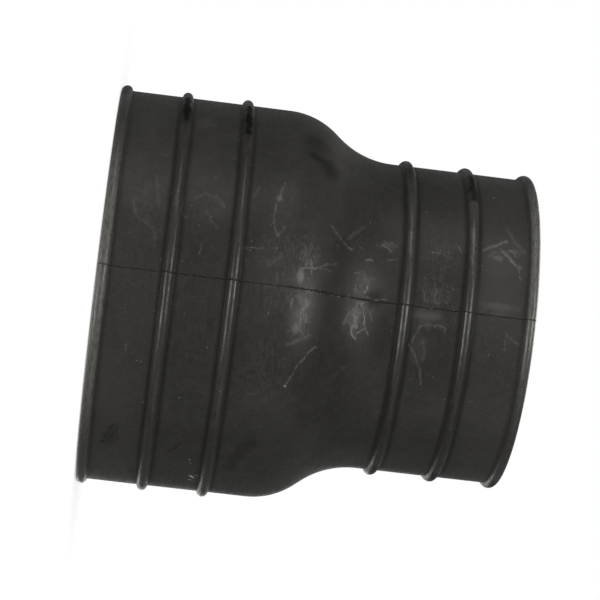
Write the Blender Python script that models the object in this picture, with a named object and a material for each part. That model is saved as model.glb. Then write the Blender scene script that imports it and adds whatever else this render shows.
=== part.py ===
"""Exhaust bellows: a moulded rubber sleeve that joins a large pipe to a smaller one on the same axis.

The sleeve is one piece of rubber. Each end is a plain round cuff with a bead along its rim and two
half-round ribs, which keep a hose clamp in its seat. Between the cuffs the wall turns inwards over a
rounded shoulder and out again through a rounded throat. Where the two halves of the mould met, a
fine raised line runs from end to end on two opposite sides.

The sleeve stands on its large end, centred on the origin, with its axis along +Z.
"""

from math import acos, atan2, cos, hypot, pi, radians, sin, sqrt

import bmesh
import bpy

MM = 0.001

# Driving dimensions, in millimetres
LARGE_BORE = 100.0       # diameter of the large pipe's seat
SMALL_BORE = 77.0        # diameter of the small pipe's seat
WALL = 5.0               # thickness of the rubber
RIM_BEAD_RADIUS = 1.4    # bead along the rim, half-round on the side of the ribs
LARGE_RIM_CREST = 1.65   # from the large end's face to its bead's crest
SMALL_RIM_CREST = 1.4    # from the small end's face to its bead's crest
RIB_RADIUS = 1.45        # half-round rib
RIB_FILLET = 0.3         # hollow round at the foot of a bead or rib
RIB_PITCH = 17.0         # from the rim bead to the first rib, and from rib to rib
LARGE_LAND = 10.5        # plain length from the large cuff's last rib to the shoulder
SMALL_LAND = 2.2         # plain length from the throat to the small cuff's last rib
SHOULDER_RADIUS = 21.0   # outer radius of the bend at the large cuff
THROAT_RADIUS = 25.0     # outer radius of the bend at the small cuff
CONE_SLANT = 2.1         # straight length of wall between the two bends
MOUTH_ROUND = 0.6        # rounded inner edge of each end face
FLASH_WIDTH = 0.3        # moulding line, across
FLASH_HEIGHT = 0.15      # moulding line, above the surface
RIBS_PER_CUFF = 2

# Fineness of the mesh
HALF_TURN_STEPS = 28     # from one moulding line round to the other
BEND_STEPS = 4           # along the shoulder, and along the throat
BEAD_STEPS = 3           # from a bead's foot to its crest
MOUTH_STEPS = 2
SHARP_ANGLE = radians(40)

# Black rubber, dulled by handling
RUBBER_COLOR = (0.033, 0.032, 0.030, 1.0)
RUBBER_ROUGHNESS = 0.55


def arc(centre, radius, start, end, steps):
    """Points on an arc, both ends included, as (distance from the axis, height)."""
    turns = [start + (end - start) * i / steps for i in range(steps + 1)]
    return [(centre[0] + radius * cos(a), centre[1] + radius * sin(a)) for a in turns]


def mirrored(points, height):
    """The same points upside down about a height, still listed from low to high."""
    return [(r, 2 * height - z) for r, z in reversed(points)]


def bead_foot(bead_radius):
    """Distance along the axis from a bead's crest to the end of its fillet."""
    return sqrt((bead_radius + RIB_FILLET) ** 2 - RIB_FILLET ** 2)


def bead_top_half(cuff_radius, bead_radius, height):
    """A bead's outline from its crest up to the plain cuff, with the fillet at its foot."""
    foot = bead_foot(bead_radius)
    meeting = atan2(foot, RIB_FILLET)
    crest = arc((cuff_radius, height), bead_radius, 0, meeting, BEAD_STEPS)
    return crest + [(cuff_radius, height + foot)]


def rib(cuff_radius, height):
    """A rib's whole outline, from the plain cuff below to the plain cuff above."""
    top = bead_top_half(cuff_radius, RIB_RADIUS, height)
    return mirrored(top, height) + top[1:]


def rim_bead_lower_half(cuff_radius, crest_height):
    """The rim bead's outline from the end face up to its crest: a quarter of an oval."""
    quarter = arc((0, 0), 1, -pi / 2, 0, BEAD_STEPS)
    return [(cuff_radius + RIM_BEAD_RADIUS * x, crest_height * (1 + y)) for x, y in quarter]


def cuff_length(rim_crest, land):
    """From a cuff's end face to the bend, past the rim bead, the ribs and the plain land."""
    return rim_crest + RIBS_PER_CUFF * RIB_PITCH + bead_foot(RIB_RADIUS) + land


def cuff_outline(cuff_radius, rim_crest):
    """The outside of a cuff that stands on its end face: the rim bead, then the ribs."""
    points = rim_bead_lower_half(cuff_radius, rim_crest)
    points += bead_top_half(cuff_radius, RIM_BEAD_RADIUS, rim_crest)[1:]
    for number in range(1, RIBS_PER_CUFF + 1):
        points += rib(cuff_radius, rim_crest + number * RIB_PITCH)
    return points


def slope_angle(step_in):
    """Angle of the cone to the axis, so that both bends and the cone give the step in radius."""
    bends = SHOULDER_RADIUS + THROAT_RADIUS
    return acos((bends - step_in) / hypot(bends, CONE_SLANT)) - atan2(CONE_SLANT, bends)


def bend_outline(large_radius, small_radius, start, end, slope, inset):
    """The reducing wall from the shoulder to the throat, inset by 0 outside or by the wall inside."""
    shoulder = (large_radius - SHOULDER_RADIUS, start)
    throat = (small_radius + THROAT_RADIUS, end)
    points = arc(shoulder, SHOULDER_RADIUS - inset, 0, slope, BEND_STEPS)
    return points + arc(throat, THROAT_RADIUS + inset, pi + slope, pi, BEND_STEPS)


def section_outline():
    """The closed outline of the wall: up the outside, down the inside."""
    large_radius = LARGE_BORE / 2 + WALL
    small_radius = SMALL_BORE / 2 + WALL
    slope = slope_angle(large_radius - small_radius)
    bends = SHOULDER_RADIUS + THROAT_RADIUS
    start = cuff_length(LARGE_RIM_CREST, LARGE_LAND)
    end = start + bends * sin(slope) + CONE_SLANT * cos(slope)
    length = end + cuff_length(SMALL_RIM_CREST, SMALL_LAND)

    outside = cuff_outline(large_radius, LARGE_RIM_CREST)
    outside += bend_outline(large_radius, small_radius, start, end, slope, 0)
    outside += mirrored(cuff_outline(small_radius, SMALL_RIM_CREST), length / 2)
    small_mouth = (SMALL_BORE / 2 + MOUTH_ROUND, length - MOUTH_ROUND)
    large_mouth = (LARGE_BORE / 2 + MOUTH_ROUND, MOUTH_ROUND)
    inside = arc(small_mouth, MOUTH_ROUND, pi / 2, pi, MOUTH_STEPS)
    inside += reversed(bend_outline(large_radius, small_radius, start, end, slope, WALL))
    inside += arc(large_mouth, MOUTH_ROUND, pi, 3 * pi / 2, MOUTH_STEPS)
    return outside, inside


def add_ring(bm, radius, height, flash_height):
    """A ring of vertices round the axis, raised where it crosses the two moulding lines."""
    flank = FLASH_WIDTH / 2 / radius
    step = (pi - 2 * flank) / HALF_TURN_STEPS
    ring = []
    for line in (-pi / 2, pi / 2):
        places = [(radius + flash_height, line)]
        places += [(radius, line + flank + i * step) for i in range(HALF_TURN_STEPS + 1)]
        for r, a in places:
            ring.append(bm.verts.new((r * cos(a) * MM, r * sin(a) * MM, height * MM)))
    return ring


def bridge(bm, lower, upper):
    """Faces between two rings that have their vertices at matching places."""
    for i in range(len(lower)):
        j = (i + 1) % len(lower)
        bm.faces.new((lower[i], lower[j], upper[j], upper[i]))


def rubber_material():
    """Dull black rubber."""
    material = bpy.data.materials.new("black_rubber")
    material.use_nodes = True
    shader = material.node_tree.nodes["Principled BSDF"]
    shader.inputs["Base Color"].default_value = RUBBER_COLOR
    shader.inputs["Roughness"].default_value = RUBBER_ROUGHNESS
    shader.inputs["Metallic"].default_value = 0.0
    material.diffuse_color = RUBBER_COLOR
    return material


def make_sleeve():
    """Turn the wall's outline round the axis, with the moulding line on the outside only."""
    outside, inside = section_outline()
    bm = bmesh.new()
    rings = [add_ring(bm, r, z, FLASH_HEIGHT) for r, z in outside]
    rings += [add_ring(bm, r, z, 0) for r, z in inside]
    for lower, upper in zip(rings, rings[1:] + rings[:1]):
        bridge(bm, lower, upper)
    mesh = bpy.data.meshes.new("bellows_sleeve")
    bm.to_mesh(mesh)
    bm.free()
    mesh.shade_smooth()
    mesh.set_sharp_from_angle(angle=SHARP_ANGLE)
    mesh.materials.append(rubber_material())
    sleeve = bpy.data.objects.new("bellows_sleeve", mesh)
    bpy.context.collection.objects.link(sleeve)
    return sleeve


def clear_scene():
    """Remove whatever objects the file opened with."""
    for old in list(bpy.data.objects):
        bpy.data.objects.remove(old)


clear_scene()
make_sleeve()
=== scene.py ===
"""Looks of the rubber exhaust bellows: its fine surface, its worn black rubber, studio and camera.

One surface replaces the solid. It has the same turned form in finer steps, an uneven moulding line and
two materials: worn rubber outside, with each of the photograph's marks in its place, painted shade in its
creases and painted light on its rims, flanks, crests and shiny patches, and plain inside.
"""

from math import atan2, cos, hypot, pi, radians, sin, sqrt

import bpy
import numpy as np
from mathutils import Matrix, Vector


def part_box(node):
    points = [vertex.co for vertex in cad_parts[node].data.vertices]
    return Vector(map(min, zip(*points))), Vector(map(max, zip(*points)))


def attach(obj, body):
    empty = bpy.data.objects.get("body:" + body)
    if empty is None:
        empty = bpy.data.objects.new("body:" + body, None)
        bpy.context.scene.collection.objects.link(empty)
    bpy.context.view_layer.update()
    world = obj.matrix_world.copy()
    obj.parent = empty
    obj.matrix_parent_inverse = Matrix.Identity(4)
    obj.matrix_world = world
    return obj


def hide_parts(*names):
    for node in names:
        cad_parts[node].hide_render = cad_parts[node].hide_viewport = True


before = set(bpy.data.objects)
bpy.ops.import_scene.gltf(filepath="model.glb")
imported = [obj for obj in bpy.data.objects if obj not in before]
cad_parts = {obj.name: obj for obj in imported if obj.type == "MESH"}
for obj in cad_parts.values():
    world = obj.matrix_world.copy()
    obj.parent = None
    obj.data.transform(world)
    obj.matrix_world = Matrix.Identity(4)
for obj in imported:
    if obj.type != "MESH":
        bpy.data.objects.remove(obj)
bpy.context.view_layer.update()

MM = 0.001
NODE = "bellows_sleeve"

# The sleeve's sizes, in millimetres, as the solid has them
LARGE_BORE = 100.0
SMALL_BORE = 77.0
WALL = 5.0
RIM_BEAD_RADIUS = 1.4
LARGE_RIM_CREST = 1.65
SMALL_RIM_CREST = 1.4
RIB_RADIUS = 1.45
RIB_FILLET = 0.3
RIB_PITCH = 17.0
RIBS_PER_CUFF = 2
LARGE_LAND = 10.5
SMALL_LAND = 2.2
SHOULDER_RADIUS = 21.0
THROAT_RADIUS = 25.0
MOUTH_ROUND = 0.6
FLASH_WIDTH = 0.3
FLASH_HEIGHT = 0.15
LARGE_RADIUS = LARGE_BORE / 2 + WALL
SMALL_RADIUS = SMALL_BORE / 2 + WALL
LENGTH = (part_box(NODE)[1].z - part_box(NODE)[0].z) / MM

# Fineness of the mesh
COLUMNS_PER_HALF = 150
BEND_STEPS = 18
BEAD_STEPS = 8
FILLET_STEPS = 3
MOUTH_STEPS = 4
LONGEST_ROW_GAP = 1.25   # millimetres
FLASH_PLACES = (0.07, 0.15, 0.3, 0.6)   # columns beside each moulding line, in millimetres

# Unevenness of the surface
WALL_RIPPLE = 0.035      # millimetres in or out
WALL_WAVES = (1, 12, 9)       # seed, number of waves, and one more than the most turns of a wave
FLASH_WAVES = (5, 9, 2)
FLASH_WAVES_STRETCH = 14      # how much faster the moulding line's waves run than the wall's
WAVE_RISE = 0.09              # spread of the waves' slants, in radians a millimetre
FLASH_MEAN, FLASH_SWING = 0.75, 0.35     # shares of the moulding line's full height
FLASH_LIMITS = (0.2, 1.3)

# The photograph's camera, in metres and degrees
CAMERA_DISTANCE = 0.6446      # from the sleeve's axis
CAMERA_TURN = radians(5.13)   # round the axis, from the front moulding line
CAMERA_HEIGHT = 0.01407       # above the large end's face
CAMERA_AIM = Vector((-0.00204, -0.00018, 0.05707))
CAMERA_ROLL = radians(-96.83)
CAMERA_LENS = 136.2
SENSOR_WIDTH = 36.0
CLIP_START, CLIP_END = 0.05, 20.0

# Marks on the sleeve. A place is (millimetres round from the front moulding line, millimetres up from
# CHART_BASE). Millimetres round are counted at CHART_RADIUS and grow towards +X.
CHART_RADIUS = 50.0
CHART_BASE = 0.25
STROKE_WANDER = 1.6      # how far the marks' edges waver, in millimetres for a full swing of the noise
SCUFF_WANDER = 6.0
PATCH_FADE = (0.2, 1.15)      # a patch fades out between these shares of its half widths
# Scratches, and painted highlights along three bead crests and beside the moulding line
SCRATCHES_AND_HIGHLIGHTS = (            # half width, strength, then the places the scratch runs through
    (0.42, 0.45, (-27, 46.5), (-22.5, 45), (-17.5, 44), (-15, 44), (-12, 45.5)),
    (0.60, 0.35, (-26, 46), (-22, 45)),
    (0.50, 0.55, (-14.5, 47), (-12, 45.5)),
    (0.40, 0.45, (-8, 37), (-9, 46)),
    (0.45, 0.25, (-8, 37), (-4.5, 38)),
    (1.00, 0.22, (-5, 44), (-7.5, 47)),
    (0.42, 0.62, (24, 52), (21.5, 54), (19, 54.5), (17, 56), (14, 59)),
    (0.80, 0.15, (20.5, 68), (23, 65)),
    (0.90, 0.35, (-18, 60), (-16, 62.5)),
    (0.50, 0.35, (-16, 62.5), (-14, 65)),
    (0.50, 0.80, (-14, 65), (-14, 66)),
    (0.80, 0.22, (-17, 65), (-20, 67), (-22.5, 69)),
    (0.50, 0.25, (-16, 68), (-15, 70.5)),
    (0.40, 0.90, (-5, 53), (-6, 57)),
    (0.40, 0.80, (-7, 55), (-4, 55.5)),
    (0.50, 0.40, (-6, 57), (-8.5, 62)),
    (0.40, 0.35, (-6, 57), (-6, 61)),
    (0.50, 0.50, (-6, 54), (-7.5, 56.5)),
    (0.60, 0.30, (11, 57), (14, 51)),
    (0.50, 0.40, (2.5, 55), (8, 55.5)),
    (0.40, 0.45, (5, 53.5), (8, 54)),
    (0.50, 0.55, (3, 51), (4.5, 51)),
    (0.45, 0.95, (0.5, 69.5), (3, 68.5), (7, 69), (9, 68), (12, 69.5)),
    (0.65, 0.55, (3, 68), (6, 66.5), (8, 66)),
    (0.75, 0.75, (3, 69), (8.5, 69.5)),
    (0.40, 1.00, (1, 70.5), (5, 71.5), (7.5, 71.5), (10, 73)),
    (0.45, 0.95, (8.5, 72), (10, 70), (12, 69.5)),
    (0.40, 0.90, (0, 69), (2.5, 71)),
    (0.45, 0.30, (2, 71.5), (6, 74)),
    (0.40, 0.95, (-4, 68), (-2, 69)),
    (0.40, 0.95, (-4.5, 71.5), (-2, 70.5)),
    (0.50, 0.40, (-7.5, 67.5), (-8, 69)),
    (0.40, 0.60, (-18, 74.5), (-17, 76.5), (-14.5, 79)),
    (0.40, 0.60, (-13.5, 76.5), (-14, 79)),
    (0.50, 0.95, (-12, 70.5), (-12.5, 72)),
    # Painted highlight on the lit upper edge of the moulding line
    (0.35, 0.65, (-0.7, 71.5), (-0.9, 77)),
    (0.40, 0.40, (-18, 88), (-18, 90)),
    (0.40, 0.35, (-18, 92.5), (-19, 94)),
    (0.40, 0.60, (-22.5, 94), (-19, 96)),
    (0.35, 0.35, (-6, 86.5), (-2, 87)),
    (0.35, 0.40, (-6.5, 90), (-2, 89.5)),
    (0.35, 0.35, (-2, 89), (-2, 93)),
    (0.50, 0.50, (6, 86.5), (10.5, 85)),
    (0.60, 0.35, (6, 86.5), (5, 89), (5, 93)),
    (0.40, 0.40, (5, 93), (6, 93.5), (7.5, 93)),
    (0.50, 0.40, (10.5, 85), (12, 84.5), (14.5, 86), (19, 88), (24, 89)),
    (0.60, 0.25, (10, 87.5), (13, 88.5), (16, 88.5)),
    (0.90, 0.65, (-21, 102), (-23, 105), (-25, 108)),
    (0.40, 0.55, (-22, 103), (-24, 107)),
    (0.80, 0.70, (-21.5, 107), (-18, 110), (-16, 112)),
    (0.40, 0.45, (-22, 109), (-19, 112)),
    (0.40, 0.65, (-16, 111.5), (-12, 112.5)),
    (0.90, 0.22, (-30.5, 108), (-24, 111), (-22, 113)),
    (0.45, 0.40, (5, 110), (7, 109.5), (10, 110)),
    (0.45, 0.40, (6, 111), (8, 113.5)),
    (0.40, 0.30, (10, 109), (9.5, 111)),
    (0.70, 0.18, (-17, 7), (-13.5, 8), (-11, 11), (-10.5, 13)),
    (0.45, 0.20, (-10.5, 13), (-6, 14)),
    (0.80, 0.16, (-24, 12), (-20, 13), (-16, 14)),
    (0.70, 0.18, (-19, 23), (-21, 25.5), (-20, 29), (-18, 31)),
    (0.50, 0.18, (-16, 26), (-14, 28), (-12, 29.5)),
    (0.50, 0.25, (-19, 20), (-15, 20), (-14, 21)),
    (0.45, 0.45, (-14, 21), (-14.5, 22)),
    (0.45, 0.55, (-5.5, 25.5), (-6.5, 26)),
    (0.40, 0.35, (-26, 27.5), (-25, 28)),
    (0.50, 0.28, (-21.5, 38), (-23, 39), (-24.5, 39.5)),
    (0.40, 0.50, (18, 9.5), (20, 9.5)),
    # Painted highlights on the crests of three beads
    (0.90, 0.20, (-20, 18), (-16, 18)),
    (0.90, 0.24, (-23, 81.7), (-16, 81.7)),
    (0.90, 0.34, (-27, 98.7), (-15, 98.7)),
    (0.40, 0.35, (120, 20), (112, 29)),
    (0.40, 0.40, (-120, 60), (-131, 66), (-128, 72)),
    (0.40, 0.35, (140, 88), (149, 95)),
    (0.50, 0.30, (-100, 108), (-108, 113)),
    (0.40, 0.35, (96, 52), (104, 57)),
)
# Pale scuffs, some of them painted sheen where the shoulder and throat shine
PALE_PATCHES = (         # fibrous; strength, centre, half widths round and along
    (0.60, (9.5, 53.2), (4.5, 2.8)),
    (0.45, (6, 54), (8, 5)),
    (0.35, (-3, 47), (15, 8)),
    (0.42, (-10, 54), (7, 3.8)),
    (0.80, (-3, 53), (2.4, 1.6)),
    (0.45, (6.5, 68.5), (6, 3.2)),
    (0.70, (8, 68.5), (3.5, 2.2)),
    (0.40, (-6.5, 70.5), (2.4, 3.4)),
    (0.45, (-3, 68.6), (2, 1.5)),
    (0.40, (-18.5, 76), (2.2, 3.5)),
    (0.45, (-19.5, 106), (4, 6)),
    (0.18, (-12, 107), (12, 8)),
    (0.42, (3, 89.5), (4.5, 6)),
    (0.28, (-5, 90), (8, 6)),
    (0.20, (-17, 91), (9, 6)),
    (0.30, (-2, 106), (2.6, 6)),
    (0.10, (-17, 26), (6, 5)),
    (0.12, (-15, 10), (12, 5)),
    (0.12, (20, 47), (14, 8)),
    (0.20, (-125, 66), (12, 9)),
    (0.18, (130, 27), (14, 5)),
    (0.20, (100, 55), (8, 5)),
)
# Painted highlights and sheen on the shoulder, throat and cuffs, and some pale scuffs
BRIGHT_SPOTS = (         # smooth; strength, centre, half widths round and along
    (0.78, (9.5, 53), (1.8, 1.5)),
    (0.24, (7.5, 53), (5, 3)),
    (0.55, (8, 68.5), (2.4, 1.4)),
    (0.75, (-3.2, 52.5), (2.4, 1.2)),
    (0.40, (-18.5, 76), (1.1, 2.4)),
    (0.55, (-22, 45), (1.0, 1.0)),
    (0.16, (-4, 46), (13, 8)),
    (0.09, (-12, 57), (30, 6.5)),
    (0.05, (-42, 48), (10, 7)),
    (0.06, (6, 42), (9, 5)),
    (0.035, (-44, 9), (9, 5)),
    (0.05, (25, 64), (10, 5)),
    (0.45, (2.4, 88.6), (2.0, 5.0)),
    (0.16, (12.5, 87), (6.5, 3.0)),
    (0.65, (-18.5, 106), (1.3, 2.2)),
    (0.42, (-21.5, 110), (1.4, 3.0)),
    (0.38, (-3, 107), (1.9, 7)),
    (0.15, (-14, 107), (18, 9)),
    (0.12, (-46, 23.5), (4, 4)),
)
WHITE_CHIPS = (          # half width, strength, then from where to where
    (0.75, 0.90, (60, 31.2), (61, 31.8)),
    (0.50, 0.70, (62.5, 30.8), (62.8, 31.3)),
    (0.40, 0.50, (59, 32.6), (59.4, 32.9)),
    (0.30, 0.40, (51, 30), (51.3, 30.2)),
    (0.30, 0.35, (53, 30.5), (53.2, 30.7)),
    (0.40, 0.90, (24, 52), (24.2, 52.2)),
    (0.30, 0.45, (-45, 105), (-45, 105.3)),
    (0.30, 0.20, (-0.2, 71.8), (-0.4, 74.5)),
)
DARK_PATCHES = (         # strength, centre, half widths round and along
    (1.00, (-49.5, 18.4), (10, 2.0)),
    (1.00, (-48, 35.4), (10, 2.0)),
    (0.90, (-46.5, 99), (7.5, 1.9)),
    (0.40, (-54, 82), (8, 1.8)),
    (0.14, (-20, 40.5), (13, 4)),
    (0.16, (31.5, 75), (9, 4.5)),
    (0.50, (-0.8, 73.6), (3.8, 3.6)),
    (0.55, (-36, 58.5), (5, 4)),
    (0.40, (-44, 54), (7, 5)),
    (0.35, (45.5, 8), (5, 3)),
    (0.25, (61, 15), (4, 2)),
    (0.20, (22, 66), (12, 4)),
    (0.28, (9, 76.5), (13, 5)),
)
DARK_STROKES = (         # half width, strength, then the places the stroke runs through
    (2.2, 0.45, (-76, 1.2), (-57, 1.2)),
    (2.0, 1.00, (-58, 18.4), (-44.5, 18.4)),
    (2.0, 1.00, (-57, 35.4), (-42, 35.4)),
    (2.4, 0.90, (-55, 99.3), (-40.5, 99.3)),
    (2.2, 0.60, (64, 82), (78, 82)),
    (2.2, 0.60, (64, 99), (78, 99)),
    (2.2, 0.55, (66, 116), (78, 116)),
    (0.7, 0.60, (48, 6), (41.5, 8.5)),
    (0.7, 0.55, (47, 8), (42.5, 9.5)),
    (0.5, 0.40, (41.5, 10), (46, 10)),
    (0.6, 0.50, (49, 24.5), (45, 27)),
    (2.6, 0.60, (-38.5, 53.5), (-37.5, 57), (-34.5, 59.5)),
    (3.0, 0.32, (53, 41), (44.5, 43.5), (41.5, 46)),
    (0.8, 0.20, (27.5, 104.5), (22, 113.5)),
)

# Colours of the rubber, linear
DEEP_BLACK = (0.0153, 0.0145, 0.0127, 1)
GREYED_BLACK = (0.0265, 0.0252, 0.0223, 1)
# Painted shade in the beads' creases, and the dirt of smudges, the dark moulding line and pits, mix towards
# this
DIRT_AND_SHADE_BLACK = (0.007, 0.0067, 0.006, 1)
# Pale scuffs, and painted sheen on the shoulder, throat and cuffs
SCUFF_AND_SHEEN_GREY = (0.140, 0.136, 0.127, 1)
# Scratches, painted highlights, dust and frayed rubber
SCRATCH_AND_HIGHLIGHT_GREY = (0.190, 0.185, 0.173, 1)
# Painted reflection of the white surroundings on the rims, with some wear
RIM_GREY = (0.150, 0.146, 0.136, 1)
# Grey mixed in towards the cuffs' ends
GREYER_END_BLACK = (0.060, 0.0585, 0.0540, 1)
# Painted light, partly wear, on the beads' flanks and crests
FLANK_GREY = (0.066, 0.064, 0.059, 1)
CHIP_WHITE = (0.62, 0.61, 0.58, 1)
STREAK_BLACK = (0.036, 0.0345, 0.031, 1)
MOTTLE_BLACK = (0.038, 0.0365, 0.033, 1)
INNER_STREAK_BLACK = (0.038, 0.036, 0.033, 1)

# Where the looks change, in millimetres up from the large end's face: from, to
LARGE_FACE_ENDS = (2.7, 3.1)
SMALL_FACE_STARTS = (LENGTH - 2.9, LENGTH - 2.5)
TORN_STARTS, TORN_ENDS = (51, 54), (68, 71)          # of the moulding line
GREYER_ENDS, GREYER_STARTS = (8, 26), (92, 108)          # the cuffs are greyer towards their ends
# The painted shade in a rim's crease is weaker
RIB_CREASE_STARTS, RIB_CREASE_ENDS = (5, 9), (LENGTH - 9, LENGTH - 5)   # a rim's crease is weaker
# Where the rims, flanks and crests get painted light and wear, round the lit front, in millimetres round:
# from, to. The place is first shifted round by this much, from height to height, because the lit front
# leans.
LIT_AND_HANDLED_STARTS, LIT_AND_HANDLED_ENDS = (-42, -10), (10, 62)
LIT_AND_HANDLED_LEAN_HEIGHTS, LIT_AND_HANDLED_LEAN = (20, 116), (2.0, 20.0)
UNLIT_AND_UNHANDLED = 0.12         # share of the painted light and wear that is left outside the lit front
# Millimetres along from the nearest bead's crest: from, to
# The flanks and crests get painted light, partly wear
CREST_ENDS = (0.9, 1.35)
FLANK_STARTS, FLANK_ENDS = (0.75, 1.15), (1.4, 1.6)
# The creases get painted shade, partly dirt
CREASE_STARTS, CREASE_ENDS = (1.4, 1.8), (1.8, 3.1)

# Fineness of the noises, for places in millimetres, and how far each direction is squeezed for streaks
TONE_SCALE, MOTTLE_SCALE, GRAIN_SCALE = 0.055, 0.42, 2.6
WANDER_SCALE, SPECK_SCALE = 0.45, 0.38
BRUSHED_SQUEEZE = (0.12, 0.12, 1.5)
FIBRE_SQUEEZE = (0.5, 0.5, 2.0)
RUBBED_SQUEEZE = (0.5, 0.5, 2.2)
HAMMERED_SQUEEZE = (0.35, 0.35, 2.6)
INNER_TONE_SCALE = 0.05
INNER_SQUEEZE = (0.12, 0.12, 1.2)

BUMP_DEPTH = 0.00006     # metres

# Lamps round the sleeve: name, degrees to the camera's right, degrees up, then metres away, wide and
# high, and radiance
FRONT_LAMPS = (
    ("lamp_right", 43, 2, 0.9, 0.34, 0.50, 4.8),
    ("lamp_left", -44, -1, 0.9, 0.34, 0.50, 4.2),
    ("lamp_top", 20, 60, 0.9, 0.42, 0.50, 1.4),
    ("lamp_low", 20, -60, 0.9, 0.70, 0.50, 0.5),
)
BACK_LAMPS = (           # these light only the sleeve
    ("lamp_behind_right", 130, 2, 0.9, 0.80, 0.40, 4.0),
    ("lamp_behind_left", -105, 0, 0.9, 0.80, 0.50, 2.5),
    ("lamp_behind_low", -155, -14, 0.5, 0.60, 0.20, 1.45),
)
LAMP_TINT = (1.0, 0.985, 0.955)
ROOM_LIGHT = 0.22        # strength of the white room, which the camera sees at 1

# The white ground, in metres
GROUND_REACH = 3.0
GROUND_HEIGHT = -0.0002
GROUND_GREY = (0.8, 0.8, 0.8, 1)
GROUND_ROUGHNESS = 0.9
GROUND_GLOSS = 0.1
GLOW_NEAR, GLOW_FAR = (0.07, 0.70), (0.22, 0.85)   # distance from the axis, glow that the camera sees

WHITE = (1, 1, 1, 1)

# Places of the sockets of a Mix node set to colours
MIX_FIRST, MIX_SECOND, MIX_RESULT = 6, 7, 2


def arc(centre, radius, start, end, steps):
    """Points on an arc, both ends included, as (distance from the axis, height)."""
    turns = [start + (end - start) * i / steps for i in range(steps + 1)]
    return [(centre[0] + radius * cos(a), centre[1] + radius * sin(a)) for a in turns]


def mirrored(points, height):
    """The same points upside down about a height, still listed from low to high."""
    return [(r, 2 * height - z) for r, z in reversed(points)]


def bead_foot(bead_radius):
    """Distance along the axis from a bead's crest to the end of its fillet."""
    return sqrt((bead_radius + RIB_FILLET) ** 2 - RIB_FILLET ** 2)


def bead_top_half(cuff_radius, bead_radius, height):
    """A bead's outline from its crest up to the plain cuff, with the fillet at its foot."""
    foot = bead_foot(bead_radius)
    meeting = atan2(foot, RIB_FILLET)
    crest = arc((cuff_radius, height), bead_radius, 0, meeting, BEAD_STEPS)
    fillet = arc((cuff_radius + RIB_FILLET, height + foot), RIB_FILLET, meeting - pi, -pi, FILLET_STEPS)
    return crest + fillet[1:]


def rib(cuff_radius, height):
    """A rib's whole outline, from the plain cuff below to the plain cuff above."""
    top = bead_top_half(cuff_radius, RIB_RADIUS, height)
    return mirrored(top, height) + top[1:]


def rim_bead_lower_half(cuff_radius, crest_height):
    """The rim bead's outline from the end face up to its crest: a quarter of an oval."""
    quarter = arc((0, 0), 1, -pi / 2, 0, BEAD_STEPS)
    return [(cuff_radius + RIM_BEAD_RADIUS * x, crest_height * (1 + y)) for x, y in quarter]


def cuff_length(rim_crest, land):
    """From a cuff's end face to the bend."""
    return rim_crest + RIBS_PER_CUFF * RIB_PITCH + bead_foot(RIB_RADIUS) + land


def cuff_outline(cuff_radius, rim_crest):
    """The outside of a cuff that stands on its end face: the rim bead, then the ribs."""
    points = rim_bead_lower_half(cuff_radius, rim_crest)
    points += bead_top_half(cuff_radius, RIM_BEAD_RADIUS, rim_crest)[1:]
    for number in range(1, RIBS_PER_CUFF + 1):
        points += rib(cuff_radius, rim_crest + number * RIB_PITCH)
    return points


def bend_outline(inset):
    """The reducing wall from the shoulder to the throat; both bends fill what the cuffs leave."""
    start = cuff_length(LARGE_RIM_CREST, LARGE_LAND)
    end = LENGTH - cuff_length(SMALL_RIM_CREST, SMALL_LAND)
    bends = SHOULDER_RADIUS + THROAT_RADIUS
    step_in = LARGE_RADIUS - SMALL_RADIUS
    rise = end - start
    slant = sqrt(rise ** 2 + step_in ** 2 - 2 * bends * step_in)
    slope = atan2(rise, bends - step_in) - atan2(slant, bends)
    shoulder = (LARGE_RADIUS - SHOULDER_RADIUS, start)
    throat = (SMALL_RADIUS + THROAT_RADIUS, end)
    points = arc(shoulder, SHOULDER_RADIUS - inset, 0, slope, BEND_STEPS)
    return points + arc(throat, THROAT_RADIUS + inset, pi + slope, pi, BEND_STEPS)


def refined(points, longest):
    """The same outline with its long straight runs divided."""
    out = [points[0]]
    for (r0, z0), (r1, z1) in zip(points, points[1:]):
        parts = max(1, round(hypot(r1 - r0, z1 - z0) / longest))
        out += [(r0 + (r1 - r0) * i / parts, z0 + (z1 - z0) * i / parts) for i in range(1, parts + 1)]
    return out


def outside_outline():
    """The outside from the large end's face to the small end's."""
    outside = cuff_outline(LARGE_RADIUS, LARGE_RIM_CREST) + bend_outline(0)
    outside += mirrored(cuff_outline(SMALL_RADIUS, SMALL_RIM_CREST), LENGTH / 2)
    return refined(outside, LONGEST_ROW_GAP)


def inside_outline():
    """The inside from the small end's face back to the large end's."""
    small_mouth = (SMALL_BORE / 2 + MOUTH_ROUND, LENGTH - MOUTH_ROUND)
    large_mouth = (LARGE_BORE / 2 + MOUTH_ROUND, MOUTH_ROUND)
    inside = arc(small_mouth, MOUTH_ROUND, pi / 2, pi, MOUTH_STEPS)
    inside += reversed(bend_outline(WALL))
    inside += arc(large_mouth, MOUTH_ROUND, pi, 3 * pi / 2, MOUTH_STEPS)
    return refined(inside, 3 * LONGEST_ROW_GAP)


def bead_heights():
    """Heights of all rim beads and ribs."""
    steps = [i * RIB_PITCH for i in range(RIBS_PER_CUFF + 1)]
    return [LARGE_RIM_CREST + s for s in steps] + [LENGTH - SMALL_RIM_CREST - s for s in steps]


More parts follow.
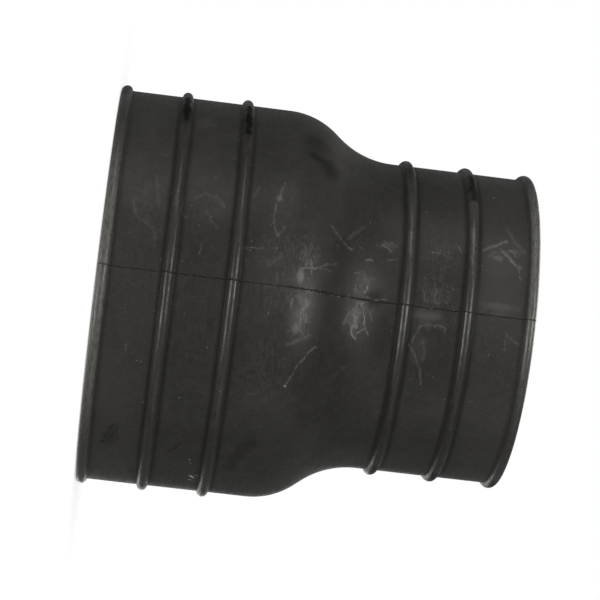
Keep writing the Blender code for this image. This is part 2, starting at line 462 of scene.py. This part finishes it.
def column_angles():
    """Angles round the axis, evenly spaced, with close ones beside both moulding lines."""
    flank = FLASH_PLACES[-1] / LARGE_RADIUS
    half = [0.0] + [d / LARGE_RADIUS for d in FLASH_PLACES]
    step = (pi - 2 * flank) / COLUMNS_PER_HALF
    half += [flank + i * step for i in range(1, COLUMNS_PER_HALF)]
    half += [pi - d / LARGE_RADIUS for d in reversed(FLASH_PLACES)]
    return np.array([a - pi / 2 for a in half] + [a + pi / 2 for a in half])


def ripple(angles, heights, seed, waves, reach):
    """A smooth uneven field between about -1 and 1, closed round the axis."""
    random = np.random.default_rng(seed)
    field = np.zeros(np.broadcast(angles, heights).shape)
    for _ in range(waves):
        turns = random.integers(1, reach)
        rise = random.normal(0, WAVE_RISE)
        phase = random.uniform(0, 2 * pi)
        field += np.sin(turns * angles + rise * heights + phase)
    return field / sqrt(waves)


def flash_rise(angles, heights):
    """Height of the moulding lines above the surface, in millimetres."""
    nearest = np.abs((angles + pi / 2 + pi / 2) % pi - pi / 2) * LARGE_RADIUS
    crest = np.exp(-(nearest / (FLASH_WIDTH / 2)) ** 2)
    uneven = FLASH_MEAN + FLASH_SWING * ripple(0 * angles, FLASH_WAVES_STRETCH * heights, *FLASH_WAVES)
    return FLASH_HEIGHT * crest * uneven.clip(*FLASH_LIMITS)


def sleeve_points(outline, angles, is_outside):
    """Vertex places in metres, row by row."""
    r = np.array([p[0] for p in outline])[:, None]
    z = np.array([p[1] for p in outline])[:, None]
    a = angles[None, :]
    r = r + WALL_RIPPLE * ripple(a, z, *WALL_WAVES)
    if is_outside:
        r = r + flash_rise(a, z)
    z = z + 0.0 * a
    return np.stack([r * np.cos(a), r * np.sin(a), z], axis=2) * MM


def grid_faces(rows, columns):
    """The faces between neighbouring rows and columns of vertices, closed both ways."""
    row = np.arange(rows)[:, None]
    column = np.arange(columns)[None, :]
    next_row = (row + 1) % rows
    next_column = (column + 1) % columns
    corners = [row * columns + column, row * columns + next_column,
               next_row * columns + next_column, next_row * columns + column]
    return np.stack(corners, axis=2).reshape(-1, 4)


def mark_beads(mesh, outline, columns):
    """Keep each vertex's distance along the axis from the nearest bead's crest."""
    heights = np.array([z for _, z in outline])
    gaps = np.abs(heights[:, None] - np.array(bead_heights())[None, :]).min(axis=1)
    from_bead = mesh.attributes.new("from_bead", "FLOAT", "POINT")
    from_bead.data.foreach_set("value", np.repeat(gaps, columns).astype(np.float32))


def unwrap(mesh, outline, angles):
    """Texture coordinates: round the sleeve, and along the wall's outline."""
    steps = np.diff(np.array(outline + outline[:1]), axis=0)
    lengths = np.concatenate([[0], np.cumsum(np.hypot(*steps.T))])
    along = lengths / lengths[-1]
    across = np.append((angles - angles[0]) / (2 * pi), 1.0)
    u = np.stack([across[:-1], across[1:], across[1:], across[:-1]], axis=1)
    v = np.stack([along[:-1], along[:-1], along[1:], along[1:]], axis=1)
    uv = np.stack([np.tile(u, (len(outline), 1)), np.repeat(v, len(angles), axis=0)], axis=2)
    mesh.uv_layers.new(name="UVMap").uv.foreach_set("vector", uv.astype(np.float32).ravel())


def build_sleeve():
    """The whole closed surface: outside and inside rows joined round and round."""
    outside, inside = outside_outline(), inside_outline()
    angles = column_angles()
    points = np.concatenate([sleeve_points(outside, angles, True), sleeve_points(inside, angles, False)])
    rows, columns = points.shape[:2]
    mesh = bpy.data.meshes.new("sleeve_surface")
    mesh.from_pydata(points.reshape(-1, 3), [], grid_faces(rows, columns))
    mesh.shade_smooth()
    mark_beads(mesh, outside + inside, columns)
    face_rows = np.repeat(np.arange(rows), columns)
    mesh.polygons.foreach_set("material_index", (face_rows >= len(outside)).astype(np.int32))
    unwrap(mesh, outside + inside, angles)
    mesh.update()
    sleeve = bpy.data.objects.new("sleeve", mesh)
    bpy.context.scene.collection.objects.link(sleeve)
    return sleeve


class Graph:
    """Adds nodes to a node tree and feeds their sockets with values or with other sockets."""

    def __init__(self, tree):
        self.tree = tree

    def add(self, kind, inputs=None, **settings):
        node = self.tree.nodes.new(kind)
        for name, value in settings.items():
            setattr(node, name, value)
        for key, value in (inputs or {}).items():
            self.feed(node.inputs[key], value)
        return node

    def feed(self, socket, value):
        if isinstance(value, bpy.types.NodeSocket):
            self.tree.links.new(value, socket)
        else:
            socket.default_value = value

    def math(self, operation, *values):
        return self.add("ShaderNodeMath", dict(enumerate(values)), operation=operation).outputs[0]

    def vector(self, operation, *values):
        node = self.add("ShaderNodeVectorMath", dict(enumerate(values)), operation=operation)
        return node.outputs["Value" if operation in ("LENGTH", "DOT_PRODUCT") else "Vector"]

    def scaled(self, vector, factor):
        inputs = {"Vector": vector, "Scale": factor}
        return self.add("ShaderNodeVectorMath", inputs, operation="SCALE").outputs["Vector"]

    def noise(self, place, scale, detail=2.0, roughness=0.5):
        inputs = {"Vector": place, "Scale": scale, "Detail": detail, "Roughness": roughness}
        return self.add("ShaderNodeTexNoise", inputs).outputs["Fac"]

    def ramp(self, value, low, high, to_low=0.0, to_high=1.0):
        inputs = {"Value": value, "From Min": low, "From Max": high, "To Min": to_low, "To Max": to_high}
        return self.add("ShaderNodeMapRange", inputs, interpolation_type="SMOOTHSTEP").outputs["Result"]

    def mix(self, share, first, second):
        inputs = {"Factor": share, MIX_FIRST: first, MIX_SECOND: second}
        return self.add("ShaderNodeMix", inputs, data_type="RGBA").outputs[MIX_RESULT]

    def strongest(self, masks):
        result = masks[0]
        for mask in masks[1:]:
            result = self.math("MAXIMUM", result, mask)
        return result


def new_group(name, sockets):
    """An empty node group with these inputs and one output, Mask."""
    tree = bpy.data.node_groups.new(name, "ShaderNodeTree")
    for socket, kind in sockets:
        tree.interface.new_socket(socket, in_out="INPUT", socket_type="NodeSocket" + kind)
    tree.interface.new_socket("Mask", in_out="OUTPUT", socket_type="NodeSocketFloat")
    g = Graph(tree)
    return g, g.add("NodeGroupInput").outputs


def stroke_group():
    """Marks a straight stroke: Strength on the line that leaves From by Step, nothing beyond Width."""
    sockets = (("Chart", "Vector"), ("From", "Vector"), ("Step", "Vector"), ("Share", "Vector"),
               ("Width", "Float"), ("Strength", "Float"))
    g, given = new_group("stroke", sockets)
    reached = g.vector("SUBTRACT", given["Chart"], given["From"])
    share = g.math("MAXIMUM", g.math("MINIMUM", g.vector("DOT_PRODUCT", reached, given["Share"]), 1.0), 0.0)
    gap = g.vector("LENGTH", g.vector("SUBTRACT", reached, g.scaled(given["Step"], share)))
    g.add("NodeGroupOutput", {"Mask": g.ramp(gap, 0.0, given["Width"], given["Strength"], 0.0)})
    return g.tree


def patch_group():
    """Marks a soft oval patch: Strength round its centre, fading to nothing at its edge."""
    sockets = (("Chart", "Vector"), ("Centre", "Vector"), ("Reach", "Vector"), ("Strength", "Float"))
    g, given = new_group("patch", sockets)
    reached = g.vector("DIVIDE", g.vector("SUBTRACT", given["Chart"], given["Centre"]), given["Reach"])
    mask = g.ramp(g.vector("LENGTH", reached), *PATCH_FADE, given["Strength"], 0.0)
    g.add("NodeGroupOutput", {"Mask": mask})
    return g.tree


def marked(g, group, masks):
    """The strongest of the group's masks, joined one by one as they are made."""
    result = None
    for inputs in masks:
        node = g.add("ShaderNodeGroup", node_tree=group)
        for key, value in inputs.items():
            g.feed(node.inputs[key], value)
        mask = node.outputs["Mask"]
        result = mask if result is None else g.math("MAXIMUM", result, mask)
    return result


def strokes(g, group, chart, runs):
    """The strongest of all strokes in these runs of places."""
    masks = []
    for width, strength, *places in runs:
        for start, end in zip(places, places[1:]):
            step = Vector((end[0] - start[0], end[1] - start[1], 0))
            masks.append({"Chart": chart, "From": (*start, 0), "Step": step,
                          "Share": step / step.length_squared, "Width": width, "Strength": strength})
    return marked(g, group, masks)


def patches(g, group, chart, places):
    """The strongest of all patches."""
    return marked(g, group, [
        {"Chart": chart, "Centre": (a, z, 0), "Reach": (round_reach, along_reach, 1), "Strength": strength}
        for strength, (a, z), (round_reach, along_reach) in places])


def rubber(name):
    """A Principled material, its graph, and places in the sleeve's own millimetres."""
    material = bpy.data.materials.new(name)
    material.use_nodes = True
    g = Graph(material.node_tree)
    place = g.scaled(g.add("ShaderNodeTexCoord").outputs["Object"], 1 / MM)
    return material, g, material.node_tree.nodes["Principled BSDF"], place


def chart_of(g, place):
    """The place laid flat: millimetres round the sleeve, height, and sideways distance from the lines."""
    parts = g.add("ShaderNodeSeparateXYZ", {"Vector": place}).outputs
    turn = g.math("ARCTAN2", parts["X"], g.math("MULTIPLY", parts["Y"], -1.0))
    around = g.math("MULTIPLY", turn, CHART_RADIUS)
    up = g.math("SUBTRACT", parts["Z"], CHART_BASE)
    chart = g.add("ShaderNodeCombineXYZ", {"X": around, "Y": up, "Z": 0.0}).outputs["Vector"]
    return chart, around, parts["X"], parts["Z"]


class Surface:
    """The places and patterns that the masks of the outside share."""

    def __init__(self, g, place):
        self.g = g
        self.place = place
        self.chart, self.around, self.sideways, self.height = chart_of(g, place)
        self.tone = g.noise(place, TONE_SCALE, 5.0, 0.62)
        self.mottle = g.noise(place, MOTTLE_SCALE, 3.0, 0.6)
        self.grain = g.noise(place, GRAIN_SCALE, 2.0, 0.6)
        self.brushed = g.noise(g.vector("MULTIPLY", place, BRUSHED_SQUEEZE), 1.0, 3.0, 0.6)


def drawn_marks(s):
    """Masks of the marks listed above: scratches with painted highlights, pale scuffs with painted sheen,
    dark smudges and white chips.
    """
    g, place, chart = s.g, s.place, s.chart
    stroke, patch = stroke_group(), patch_group()
    inputs = {"Vector": place, "Scale": WANDER_SCALE, "Detail": 2.0}
    wander = g.add("ShaderNodeTexNoise", inputs).outputs["Color"]
    wander = g.vector("SUBTRACT", wander, (0.5, 0.5, 0.5))
    drawn = g.vector("ADD", chart, g.scaled(wander, STROKE_WANDER))
    # Scratches, with painted highlights on some crests and beside the moulding line
    scratch_and_highlight = strokes(g, stroke, drawn, SCRATCHES_AND_HIGHLIGHTS)
    scratch_and_highlight = g.math("MULTIPLY", scratch_and_highlight, g.ramp(g.noise(place, 1.1, 2.0), 0.3, 0.6, 0.35, 1.0))
    # Pale scuffs, with painted sheen where the shoulder, throat and cuffs shine
    pale = patches(g, patch, g.vector("ADD", chart, g.scaled(wander, SCUFF_WANDER)), PALE_PATCHES)
    fibrous = g.noise(g.vector("MULTIPLY", place, FIBRE_SQUEEZE), 1.0, 4.0, 0.7)
    pale = g.math("MULTIPLY", pale, g.ramp(fibrous, 0.40, 0.60, 0.15, 1.15))
    pale = g.math("MAXIMUM", pale, patches(g, patch, drawn, BRIGHT_SPOTS))
    smudge = patches(g, patch, drawn, DARK_PATCHES)
    smudge = g.math("MAXIMUM", smudge, strokes(g, stroke, drawn, DARK_STROKES))
    chip = strokes(g, stroke, drawn, WHITE_CHIPS)
    return scratch_and_highlight, pale, smudge, chip


def dust_specks(s):
    """Mask of rare small specks of dust."""
    g = s.g
    specks = g.add("ShaderNodeTexVoronoi", {"Vector": s.place, "Scale": SPECK_SCALE, "Randomness": 1.0})
    rare = g.add("ShaderNodeSeparateColor", {"Color": specks.outputs["Color"]}).outputs["Red"]
    near = g.ramp(specks.outputs["Distance"], 0.04, 0.13, 1.0, 0.0)
    return g.math("MULTIPLY", near, g.ramp(rare, 0.55, 0.95))


def bead_masks(s):
    """Masks of the beads' creases for painted shade, of the lit front, and of the flanks, the rims and the
    crests for painted light and wear.
    """
    g, height = s.g, s.height
    from_bead = g.add("ShaderNodeAttribute", attribute_name="from_bead").outputs["Fac"]
    # Painted shade, partly dirt, in the creases beside each bead
    crease = g.math("MULTIPLY", g.ramp(from_bead, *CREASE_STARTS), g.ramp(from_bead, *CREASE_ENDS, 1.0, 0.0))
    # The lit front, where the rims, flanks and crests get painted light and wear
    lit_and_handled_place = g.math("ADD", s.around, g.ramp(height, *LIT_AND_HANDLED_LEAN_HEIGHTS, *LIT_AND_HANDLED_LEAN))
    lit_and_handled = g.math("MULTIPLY", g.ramp(lit_and_handled_place, *LIT_AND_HANDLED_STARTS, UNLIT_AND_UNHANDLED, 1.0),
                     g.ramp(lit_and_handled_place, *LIT_AND_HANDLED_ENDS, 1.0, UNLIT_AND_UNHANDLED))
    flank = g.math("MULTIPLY", g.ramp(from_bead, *FLANK_STARTS), g.ramp(from_bead, *FLANK_ENDS, 1.0, 0.0))
    end_face = g.math("MAXIMUM", g.ramp(height, *LARGE_FACE_ENDS, 1.0, 0.0),
                      g.ramp(height, *SMALL_FACE_STARTS))
    rubbed = g.noise(g.vector("MULTIPLY", s.place, RUBBED_SQUEEZE), 1.0, 4.0, 0.7)
    # Painted reflection of the white surroundings on the rim beads, with a rubbed wear texture
    rim = g.math("MULTIPLY", end_face, lit_and_handled)
    rim = g.math("MULTIPLY", rim, g.ramp(rubbed, 0.34, 0.60, 0.3, 1.0))
    crest = g.ramp(from_bead, *CREST_ENDS, 1.0, 0.0)
    return crease, lit_and_handled, flank, rim, crest


def line_masks(s):
    """Masks of the moulding line, and of the frayed and the pitted rubber where it is torn."""
    g, grain, mottle = s.g, s.grain, s.mottle
    sway = g.ramp(g.noise(s.place, 0.8, 2.0), 0.2, 0.8, -0.12, 0.12)
    aside = g.math("ABSOLUTE", g.math("ADD", s.sideways, sway))
    seam = g.math("MULTIPLY", g.ramp(aside, 0.06, 0.24, 1.0, 0.0), g.ramp(mottle, 0.35, 0.55, 0.35, 0.75))
    torn = g.math("MULTIPLY", g.ramp(s.height, *TORN_STARTS), g.ramp(s.height, *TORN_ENDS, 1.0, 0.0))
    torn = g.math("MULTIPLY", torn, g.ramp(aside, 0.3, 1.0, 1.0, 0.0))
    frayed = g.math("MULTIPLY", g.ramp(grain, 0.52, 0.60), g.ramp(mottle, 0.46, 0.56))
    frayed = g.math("MULTIPLY", torn, frayed)
    pitted = g.math("MULTIPLY", g.ramp(grain, 0.40, 0.48, 0.8, 0.0), g.ramp(mottle, 0.60, 0.50))
    pitted = g.math("MULTIPLY", torn, pitted)
    return seam, frayed, pitted


def unworn_color(s):
    """The rubber's own black, with clouds, streaks, mottling and grain, greyer towards the cuffs' ends."""
    g = s.g
    color = g.mix(g.ramp(s.tone, 0.3, 0.7), DEEP_BLACK, GREYED_BLACK)
    color = g.mix(g.math("MULTIPLY", g.ramp(s.brushed, 0.35, 0.68), 0.20), color, STREAK_BLACK)
    color = g.mix(g.math("MULTIPLY", g.ramp(s.mottle, 0.42, 0.7), 0.4), color, MOTTLE_BLACK)
    ends = g.math("MAXIMUM", g.ramp(s.height, *GREYER_ENDS, 1.0, 0.0), g.ramp(s.height, *GREYER_STARTS))
    color = g.mix(g.math("MULTIPLY", ends, 0.2), color, GREYER_END_BLACK)
    return g.scaled(color, g.ramp(s.grain, 0.28, 0.72, 0.78, 1.36))


def outside_rubber():
    """Moulded black rubber with painted light and wear on its rims, flanks and crests, painted shade in its
    creases, painted highlights and sheen among its scuffs and scratches, and dirt and dust.
    """
    material, g, shader, place = rubber("worn_black_rubber_with_painted_light_and_shade")
    s = Surface(g, place)
    scratch_and_highlight, pale, smudge, chip = drawn_marks(s)
    dust = dust_specks(s)
    crease, lit_and_handled, flank, rim, crest = bead_masks(s)
    seam, frayed, pitted = line_masks(s)
    at_rib = g.math("MULTIPLY", g.ramp(s.height, *RIB_CREASE_STARTS, 0.3, 0.52),
                    g.ramp(s.height, *RIB_CREASE_ENDS, 1.0, 0.4))
    # Painted shade in the creases, with the dirt of the smudges, the dark moulding line and the pits
    shade_and_dirt = g.strongest([g.math("MULTIPLY", crease, at_rib), seam, smudge, pitted])

    color = unworn_color(s)
    # Painted light, partly wear, on the flanks and crests of the lit front
    worn_and_lit = g.math("MAXIMUM", g.math("MULTIPLY", flank, 0.5), g.math("MULTIPLY", crest, 0.3))
    color = g.mix(g.math("MULTIPLY", worn_and_lit, lit_and_handled), color, FLANK_GREY)
    # Painted reflection, with some wear, on the rims
    color = g.mix(rim, color, RIM_GREY)
    # Pale scuffs and painted sheen
    color = g.mix(pale, color, SCUFF_AND_SHEEN_GREY)
    # Scratches and painted highlights, with dust and frayed rubber
    scraped_and_highlit = g.strongest([scratch_and_highlight, g.math("MULTIPLY", dust, 0.6), g.math("MULTIPLY", frayed, 0.8)])
    color = g.mix(scraped_and_highlit, color, SCRATCH_AND_HIGHLIGHT_GREY)
    # Painted shade and dirt darken the colour
    color = g.mix(g.math("MULTIPLY", shade_and_dirt, 0.9), color, DIRT_AND_SHADE_BLACK)
    g.feed(shader.inputs["Base Color"], g.mix(chip, color, CHIP_WHITE))

    roughness = g.ramp(s.tone, 0.25, 0.75, 0.50, 0.42)
    roughness = g.math("ADD", roughness, g.ramp(s.brushed, 0.3, 0.7, -0.05, 0.05))
    roughness = g.math("SUBTRACT", roughness, g.math("MULTIPLY", pale, 0.14))
    hammered = g.noise(g.vector("MULTIPLY", place, HAMMERED_SQUEEZE), 1.0, 3.0, 0.65)
    polish = g.math("MULTIPLY", crest, g.ramp(hammered, 0.35, 0.65, -0.22, -0.02))
    roughness = g.math("ADD", roughness, polish)
    roughness = g.math("ADD", roughness, g.math("MULTIPLY", g.strongest([dust, smudge, chip]), 0.2))
    g.feed(shader.inputs["Roughness"], roughness)

    crest_gloss = g.ramp(lit_and_handled, UNLIT_AND_UNHANDLED, 1.0, -0.10, g.ramp(s.height, 10, 80, 0.06, 0.34))
    polished = g.math("MULTIPLY_ADD", crest, crest_gloss, 0.42)
    # Painted shade and dirt also take away gloss
    clean_and_unshaded = g.math("SUBTRACT", 1.0, g.math("MULTIPLY", shade_and_dirt, 0.9))
    g.feed(shader.inputs["Specular IOR Level"], g.math("MULTIPLY", clean_and_unshaded, polished))

    relief = g.math("MULTIPLY", s.grain, 0.5)
    relief = g.math("ADD", relief, g.math("MULTIPLY", g.math("MULTIPLY", crest, hammered), 1.2))
    bump = g.add("ShaderNodeBump", {"Height": relief, "Strength": 0.5, "Distance": BUMP_DEPTH})
    g.feed(shader.inputs["Normal"], bump.outputs["Normal"])
    return material


def inside_rubber():
    """The plain moulded inside."""
    material, g, shader, place = rubber("inner_black_rubber")
    tone = g.noise(place, INNER_TONE_SCALE, 4.0, 0.6)
    brushed = g.noise(g.vector("MULTIPLY", place, INNER_SQUEEZE), 1.0, 3.0, 0.6)
    color = g.mix(g.ramp(tone, 0.3, 0.7), DEEP_BLACK, GREYED_BLACK)
    color = g.mix(g.math("MULTIPLY", g.ramp(brushed, 0.4, 0.7), 0.3), color, INNER_STREAK_BLACK)
    g.feed(shader.inputs["Base Color"], color)
    g.feed(shader.inputs["Roughness"], g.ramp(tone, 0.25, 0.75, 0.62, 0.5))
    return material


def photo_camera():
    """The photograph's camera, which has the sleeve lie across its picture, and its axes."""
    place = Vector((sin(CAMERA_TURN) * CAMERA_DISTANCE, -cos(CAMERA_TURN) * CAMERA_DISTANCE, CAMERA_HEIGHT))
    ahead = (CAMERA_AIM - place).normalized()
    upright = (Vector((0, 0, 1)) - ahead * ahead.z).normalized()
    up = cos(CAMERA_ROLL) * upright + sin(CAMERA_ROLL) * ahead.cross(upright)
    right = ahead.cross(up)
    camera = bpy.data.objects.new("photo_camera", bpy.data.cameras.new("photo_camera"))
    camera.matrix_world = Matrix((right, up, -ahead)).transposed().to_4x4()
    camera.location = place
    camera.data.lens = CAMERA_LENS
    camera.data.sensor_width = SENSOR_WIDTH
    camera.data.clip_start = CLIP_START
    camera.data.clip_end = CLIP_END
    bpy.context.scene.collection.objects.link(camera)
    bpy.context.scene.camera = camera
    return right, up, -ahead


def softbox(axes, name, turn, lift, distance, width, height, radiance):
    """A square lamp seen from the sleeve at turn degrees to the camera's right and lift degrees up."""
    right, up, back = axes
    turn, lift = radians(turn), radians(lift)
    towards = cos(lift) * (sin(turn) * right + cos(turn) * back) + sin(lift) * up
    side = up.cross(towards).normalized()
    data = bpy.data.lights.new(name, "AREA")
    data.shape = "RECTANGLE"
    data.size, data.size_y = width, height
    data.energy = radiance * pi * width * height
    data.color = LAMP_TINT
    lamp = bpy.data.objects.new(name, data)
    lamp.matrix_world = Matrix((side, towards.cross(side), towards)).transposed().to_4x4()
    lamp.location = CAMERA_AIM + distance * towards
    lamp.visible_camera = False
    bpy.context.scene.collection.objects.link(lamp)
    return lamp


def add_lamps(axes, sleeve):
    """The front lamps, and the back lamps, which light only the sleeve."""
    for lamp in FRONT_LAMPS:
        softbox(axes, *lamp)
    sleeve_only = bpy.data.collections.new("sleeve_only")
    sleeve_only.objects.link(sleeve)
    for lamp in BACK_LAMPS:
        softbox(axes, *lamp).light_linking.receiver_collection = sleeve_only


def add_room():
    """The white background, which lights the sleeve only a little."""
    world = bpy.data.worlds.new("white_room")
    bpy.context.scene.world = world
    world.use_nodes = True
    g = Graph(world.node_tree)
    background = world.node_tree.nodes["Background"]
    background.inputs["Color"].default_value = WHITE
    seen = g.add("ShaderNodeLightPath").outputs["Is Camera Ray"]
    g.feed(background.inputs["Strength"], g.ramp(seen, 0, 1, ROOM_LIGHT, 1.0))


def ground_paint():
    """Pale grey that looks white to the camera, less so near the sleeve, where its shadow falls."""
    material = bpy.data.materials.new("white_ground")
    material.use_nodes = True
    g = Graph(material.node_tree)
    shader = material.node_tree.nodes["Principled BSDF"]
    shader.inputs["Base Color"].default_value = GROUND_GREY
    shader.inputs["Roughness"].default_value = GROUND_ROUGHNESS
    shader.inputs["Specular IOR Level"].default_value = GROUND_GLOSS
    shader.inputs["Emission Color"].default_value = WHITE
    seen = g.add("ShaderNodeLightPath").outputs["Is Camera Ray"]
    away = g.vector("LENGTH", g.add("ShaderNodeTexCoord").outputs["Object"])
    glow = g.ramp(away, GLOW_NEAR[0], GLOW_FAR[0], GLOW_NEAR[1], GLOW_FAR[1])
    g.feed(shader.inputs["Emission Strength"], g.math("MULTIPLY", seen, glow))
    return material


def add_ground():
    """The ground that the sleeve stands on. It is only for the camera and takes no part in the light."""
    mesh = bpy.data.meshes.new("ground")
    sides = ((-1, -1), (1, -1), (1, 1), (-1, 1))
    corners = [(x * GROUND_REACH, y * GROUND_REACH, GROUND_HEIGHT) for x, y in sides]
    mesh.from_pydata(corners, [], [(0, 1, 2, 3)])
    ground = bpy.data.objects.new("ground", mesh)
    bpy.context.scene.collection.objects.link(ground)
    mesh.materials.append(ground_paint())
    ground.visible_shadow = False
    ground.visible_glossy = False
    ground.visible_diffuse = False


sleeve = build_sleeve()
sleeve.data.materials.append(outside_rubber())
sleeve.data.materials.append(inside_rubber())
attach(sleeve, "root")
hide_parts(NODE)
add_lamps(photo_camera(), sleeve)
add_room()
add_ground()
bpy.context.scene.view_settings.view_transform = "Standard"
